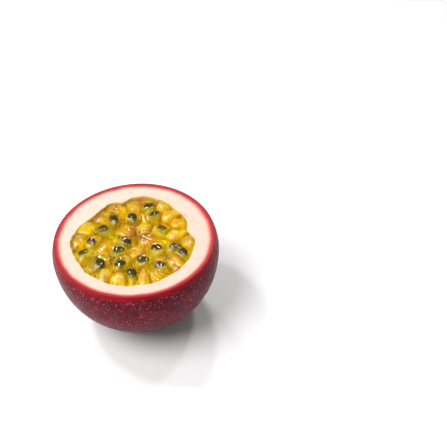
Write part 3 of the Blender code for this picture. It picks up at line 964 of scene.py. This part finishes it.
# A strand is a circle carried along a path. The path runs through its middle along a heading
# and swings aside by sin(pi t) and, less, sin(3 pi t). Its height is the sacs' own, the highest
# skin point near by, evened out along the strand. The radius is times sqrt(sin(pi t)), with t
# held off 0 and 1, so both ends taper.
def makeThreads(skins):
    draw = np.random.default_rng(threads["seed"])
    number = threads["inDip"] + threads["elsewhere"]
    inDip = np.arange(number) < threads["inDip"]
    turn = draw.uniform(0.0, 2.0 * math.pi, number)
    nearDip = draw.uniform(0.0, threads["dipReach"], number)
    reach = np.where(inDip, nearDip, threads["reach"] * np.sqrt(draw.uniform(0.1, 1.0, number)))
    dipX, dipY = heap["dips"][1][:2]
    x = reach * np.cos(turn) + np.where(inDip, dipX, 0.0)
    y = reach * np.sin(turn) + np.where(inDip, dipY, 0.0)
    anyWay = draw.uniform(0.0, math.pi, number)
    heading = np.where(inDip, anyWay, turn + draw.normal(0.0, threads["headingSpread"], number))
    length = draw.uniform(*threads["length"], number)[:, None]
    swing = threads["swing"] * draw.uniform(-1.0, 1.0, (number, 2, 1))
    t = np.linspace(0.0, 1.0, threads["points"])[None]
    along = (t - 0.5) * length
    aside = swing[:, 0] * np.sin(math.pi * t) + 0.4 * swing[:, 1] * np.sin(3.0 * math.pi * t)
    x = x[:, None] + along * np.cos(heading)[:, None] - aside * np.sin(heading)[:, None]
    y = y[:, None] + along * np.sin(heading)[:, None] + aside * np.cos(heading)[:, None]
    cloud = skins.reshape(-1, 3)
    lowest = cutHeight - threads["lowest"]
    cloud = cloud[cloud[:, 2] > lowest]
    away = np.hypot(x.reshape(-1, 1) - cloud[None, :, 0], y.reshape(-1, 1) - cloud[None, :, 1])
    high = np.where(away < threads["near"], cloud[None, :, 2], lowest)
    high = high.max(axis=1).reshape(x.shape)
    for _ in range(2):
        padded = np.pad(high, ((0, 0), (1, 1)), mode="edge")
        high = 0.25 * padded[:, :-2] + 0.5 * high + 0.25 * padded[:, 2:]
    taper = np.sqrt(np.sin(math.pi * (0.02 + 0.96 * t)))
    radius = draw.uniform(*threads["radius"], number)[:, None] * taper
    path = np.stack((x, y, high), axis=-1)
    ahead = np.gradient(path, axis=1)
    ahead /= np.linalg.norm(ahead, axis=2)[:, :, None]
    side = np.cross(ahead, (0.0, 0.0, 1.0))
    side /= np.linalg.norm(side, axis=2)[:, :, None]
    above = np.cross(side, ahead)
    step = np.linspace(0.0, 2.0 * math.pi, threads["around"], endpoint=False)[None, None, :, None]
    rings = path[:, :, None] + radius[:, :, None, None] * (
        np.cos(step) * side[:, :, None] + np.sin(step) * above[:, :, None]
    )
    first = path[:, :1] - threads["tip"] * ahead[:, :1]
    last = path[:, -1:] + threads["tip"] * ahead[:, -1:]
    points = np.concatenate((first, rings.reshape(number, -1, 3), last), axis=1)
    quads, triangles = ringFaces(threads["points"], threads["around"])
    piece = addSurface(
        "threads",
        points.reshape(-1, 3),
        repeatFaces(quads, number, points.shape[1]),
        repeatFaces(triangles, number, points.shape[1]),
    )
    material, tree, shader = newMaterial("paleThread")
    setShader(tree, shader, {
        "Base Color": srgb(*threads["colour"]),
        "Roughness": 0.25,
        "Subsurface Weight": 0.6,
        "Subsurface Radius": (1.0, 0.8, 0.4),
        "Subsurface Scale": 0.6 * mm,
        "Coat Weight": 0.5,
    })
    piece.data.materials.append(material)
    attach(piece, "root")
    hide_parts("pulp")
    return piece


# The juice bed under the sacs, a closed body with the cavity's outline and a lumpy top
bedForm = {
    "around": 150,
    "topRings": 60,
    "sideRings": 30,
    "depth": 2.7 * mm,  # under the cut
    "climb": 1.3 * mm,  # up the wall
    "bare": (84.0, 26.0),  # middle and half width in degrees of where it doesn't climb
    "bump": 0.6 * mm,
    "bumpLength": 6.0 * mm,
    "dipShare": 0.8,  # of the heap's dips
    "sideGap": 0.12 * mm,
    # painted shade: the bed darkens in the crevice where it meets the wall
    "wallMark": (0.90, 0.98),  # share of the way to the wall over which the bed darkens
}


# The bed's top, with s the share of the way to the wall: level + climb * s^10 + (bumps - dips)
# * (1 - s^8), where bumps are a size times noise. The climb is times 1 - exp(-(turn / width)^2),
# so the wall shows bare about one angle. Its side is the cavity's egg arc, a gap inside it.
def makeBed():
    angle = np.linspace(0.0, 2.0 * math.pi, bedForm["around"], endpoint=False)
    share = np.linspace(0.0, 1.0, bedForm["topRings"] + 1)[1:, None]
    middle, width = np.radians(bedForm["bare"])
    away = np.angle(np.exp(1j * (angle - middle)))
    climb = bedForm["climb"] * (1.0 - np.exp(-((away / width) ** 2)))
    rimHeight = cutHeight - bedForm["depth"] + climb
    rim = wallReach(angle, rimHeight) - bedForm["sideGap"]
    out = share * rim[None]
    x, y = out * np.cos(angle), out * np.sin(angle)
    flat = np.stack((x, y, 0.0 * x), axis=-1).reshape(-1, 3)
    bumps = bedForm["bump"] * plainNoise(flat, bedForm["bumpLength"], 44).reshape(x.shape)
    for dipX, dipY, width, depth in heap["dips"]:
        away = np.hypot(x - dipX, y - dipY)
        bumps = bumps - bedForm["dipShare"] * depth * np.exp(-((away / width) ** 2))
    up = cutHeight - bedForm["depth"] + climb * share**10 + bumps * (1.0 - share**8)
    start = np.arcsin((rimHeight - widestLevel) / form["cavityCrown"])
    fall = np.linspace(0.0, 1.0, bedForm["sideRings"] + 2)[1:-1, None]
    slope = start + fall * (-0.5 * math.pi - start)
    sideOut, sideUp = eggArc(form["cavityRadius"], form["cavityCrown"], form["cavityDepth"], slope)
    sideOut = sideOut * cavityShare(angle) - bedForm["sideGap"]
    out = np.concatenate((out, np.maximum(sideOut, 0.1 * mm)))
    up = np.concatenate((up, sideUp + bedForm["sideGap"]))
    rings = np.stack((out * np.cos(angle), out * np.sin(angle), up), axis=-1).reshape(-1, 3)
    top = np.array([[0.0, 0.0, up[0].mean()]])
    low = np.array([[0.0, 0.0, widestLevel - form["cavityDepth"] + bedForm["sideGap"]]])
    quads, triangles = ringFaces(len(out), len(angle))
    points = np.concatenate((top, rings, low))
    # the depth mark drives painted shade in the bed's deepest hollows
    depth = (cutHeight - points[:, 2]) / mm
    reach = np.hypot(points[:, 0], points[:, 1])
    around = np.arctan2(points[:, 1], points[:, 0])
    toWall = reach / wallReach(around, np.minimum(points[:, 2], cutHeight))
    # the mark by the wall carries painted shade where the bed meets the wall
    marks = {"depth": depth, "paintedWallShade": ease(toWall, *bedForm["wallMark"])}
    piece = addSurface("juiceBed", points, quads, triangles, marks)
    piece.data.materials.append(bedMaterial())
    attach(piece, "root")
    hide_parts("pulp")
    return piece


bedLook = {
    "golden": (255, 196, 6),
    "lemon": (255, 226, 20),
    "toneScale": 260.0,
    # dark patches at random: deeper seeds seen through the juice, and painted shade under the sacs
    "patch": (122, 74, 3),
    "patchScale": 210.0,
    "patchShare": 0.7,
    # painted shade: darker brown in the crevice where the bed meets the wall
    "paintedWallShade": (150, 86, 8),
    "paintedWallShadeShare": 0.5,
    # painted shade: the bed turns darker brown in its deepest hollows
    "deep": (184, 100, 2),
    "deepShadeRange": (2.6, 4.2),  # mm under the cut
    "deepShadeShare": 0.9,
    "ripples": (600.0, 0.1 * mm, 0.4),  # scale, height and strength
}


def bedMaterial():
    material, tree, shader = newMaterial("juiceBed")
    point = objectPoint(tree)
    tone = remap(tree, noiseAt(tree, point, bedLook["toneScale"], 3.0), 0.35, 0.65)
    colour = blendColours(tree, tone, srgb(*bedLook["golden"]), srgb(*bedLook["lemon"]))
    # dark patches: deeper seeds seen through the juice, and painted shade under the sacs
    patch = noiseAt(tree, point, bedLook["patchScale"], 3.0, 0.6)
    patch = remap(tree, patch, 0.50, 0.62, 0.0, bedLook["patchShare"], smooth=True)
    colour = blendColours(tree, patch, colour, srgb(*bedLook["patch"]))
    # painted shade in the crevice by the wall
    paintedWallShade = calc(tree, "MULTIPLY", readMark(tree, "paintedWallShade"), bedLook["paintedWallShadeShare"])
    colour = blendColours(tree, paintedWallShade, colour, srgb(*bedLook["paintedWallShade"]))
    # painted shade: darker brown where the bed lies deepest under the cut
    depth = readMark(tree, "depth")
    deep = remap(tree, depth, *bedLook["deepShadeRange"], 0.0, bedLook["deepShadeShare"], smooth=True)
    colour = blendColours(tree, deep, colour, srgb(*bedLook["deep"]))
    rippleScale, rippleHeight, rippleStrength = bedLook["ripples"]
    ripples = noiseAt(tree, point, rippleScale, 2.0)
    normal = addBump(tree, ripples, rippleHeight, rippleStrength)
    setShader(tree, shader, {
        "Base Color": colour,
        "Roughness": 0.15,
        "Normal": normal,
        "Subsurface Weight": 0.6,
        "Subsurface Radius": (1.0, 0.6, 0.1),
        "Subsurface Scale": 2.0 * mm,
        "Coat Weight": 0.4,
    })
    return material


# Stage: pale floor, soft light and the camera
stage = {
    "floorSize": 3.0,
    "floorColour": (250, 250, 250),
    "floorGlow": 0.02,
    "worldColour": (255, 255, 255),
    "worldStrength": (0.36, 0.07),  # from the left and from the right
    "lamps": (  # place, size, power
        ((-0.27, -0.20, 0.56), 0.40, 3.5),
        ((-0.24, 0.10, 0.50), 0.06, 0.65),
        ((0.04, 0.30, 0.48), 0.06, 0.6),
        ((-0.14, 0.42, 0.36), 0.05, 0.45),
        ((0.20, 0.20, 0.46), 0.05, 0.4),
    ),
    "lookAt": (0.0, 0.0, 0.025),
}


def makeFloor():
    half = 0.5 * stage["floorSize"]
    corners = [(-half, -half, 0.0), (half, -half, 0.0), (half, half, 0.0), (-half, half, 0.0)]
    mesh = bpy.data.meshes.new("floor")
    mesh.from_pydata(corners, [], [(0, 1, 2, 3)])
    floor = bpy.data.objects.new("floor", mesh)
    bpy.context.scene.collection.objects.link(floor)
    material, tree, shader = newMaterial("paleFloor")
    setShader(tree, shader, {
        "Base Color": srgb(*stage["floorColour"]),
        "Roughness": 0.6,
        "Emission Color": srgb(*stage["floorColour"]),
        "Emission Strength": stage["floorGlow"],
    })
    mesh.materials.append(material)


def addLamp(name, place, size, power):
    lamp = bpy.data.lights.new(name, "AREA")
    lamp.shape = "DISK"
    lamp.size = size
    lamp.energy = power
    holder = bpy.data.objects.new(name, lamp)
    holder.location = place
    aim = Vector(stage["lookAt"]) - Vector(place)
    holder.rotation_euler = aim.to_track_quat("-Z", "Y").to_euler()
    bpy.context.scene.collection.objects.link(holder)


def makeLight():
    world = bpy.data.worlds.new("softWhite")
    world.use_nodes = True
    tree = world.node_tree
    heading = addNode(tree, "TexCoord").outputs["Generated"]
    aside = addNode(tree, "SeparateXYZ", {"Vector": heading}).outputs["X"]
    strength = remap(tree, aside, -1.0, 1.0, *stage["worldStrength"])
    back = tree.nodes["Background"]
    setShader(tree, back, {"Color": srgb(*stage["worldColour"]), "Strength": strength})
    bpy.context.scene.world = world
    for number, (place, size, power) in enumerate(stage["lamps"]):
        addLamp(f"lamp{number}", place, size, power)


view = {
    "lens": 56.2,
    "sensor": 36.0,
    "pitch": 44.44,  # degrees down
    "place": (31.67 * mm, -175.47 * mm, 184.28 * mm),  # from the middle of the widest level
    "nearest": 10.0 * mm,  # that it sees
}


def makeCamera():
    camera = bpy.data.cameras.new("camera")
    camera.lens = view["lens"]
    camera.sensor_width = view["sensor"]
    camera.clip_start = view["nearest"]
    holder = bpy.data.objects.new("camera", camera)
    x, y, z = view["place"]
    holder.location = (x, y, z + widestLevel)
    holder.rotation_euler = (math.radians(90.0 - view["pitch"]), 0.0, 0.0)
    bpy.context.scene.collection.objects.link(holder)
    bpy.context.scene.camera = holder


makeCamera()
makeLight()
makeFloor()
bpy.context.scene.view_settings.view_transform = "Standard"
print("stage, light and camera are ready")
makeCup()
print("pith cup is ready")
places, turn, tilt, halves, hasSeed = laySacs()
skins, sacAxes = sacSkins(places, turn, tilt, halves)
seeded = int(hasSeed.sum())
seedMiddle, seedAxes, seedSize = makeSeeds(places[:seeded], skins[:seeded])
print(f"{seeded} seeds are ready")
makeSacs(skins, places, sacAxes, hasSeed, seedMiddle, seedAxes, seedSize)
print(f"{len(places)} juice sacs are ready")
makeThreads(skins)
makeBed()
print("threads and juice bed are ready")
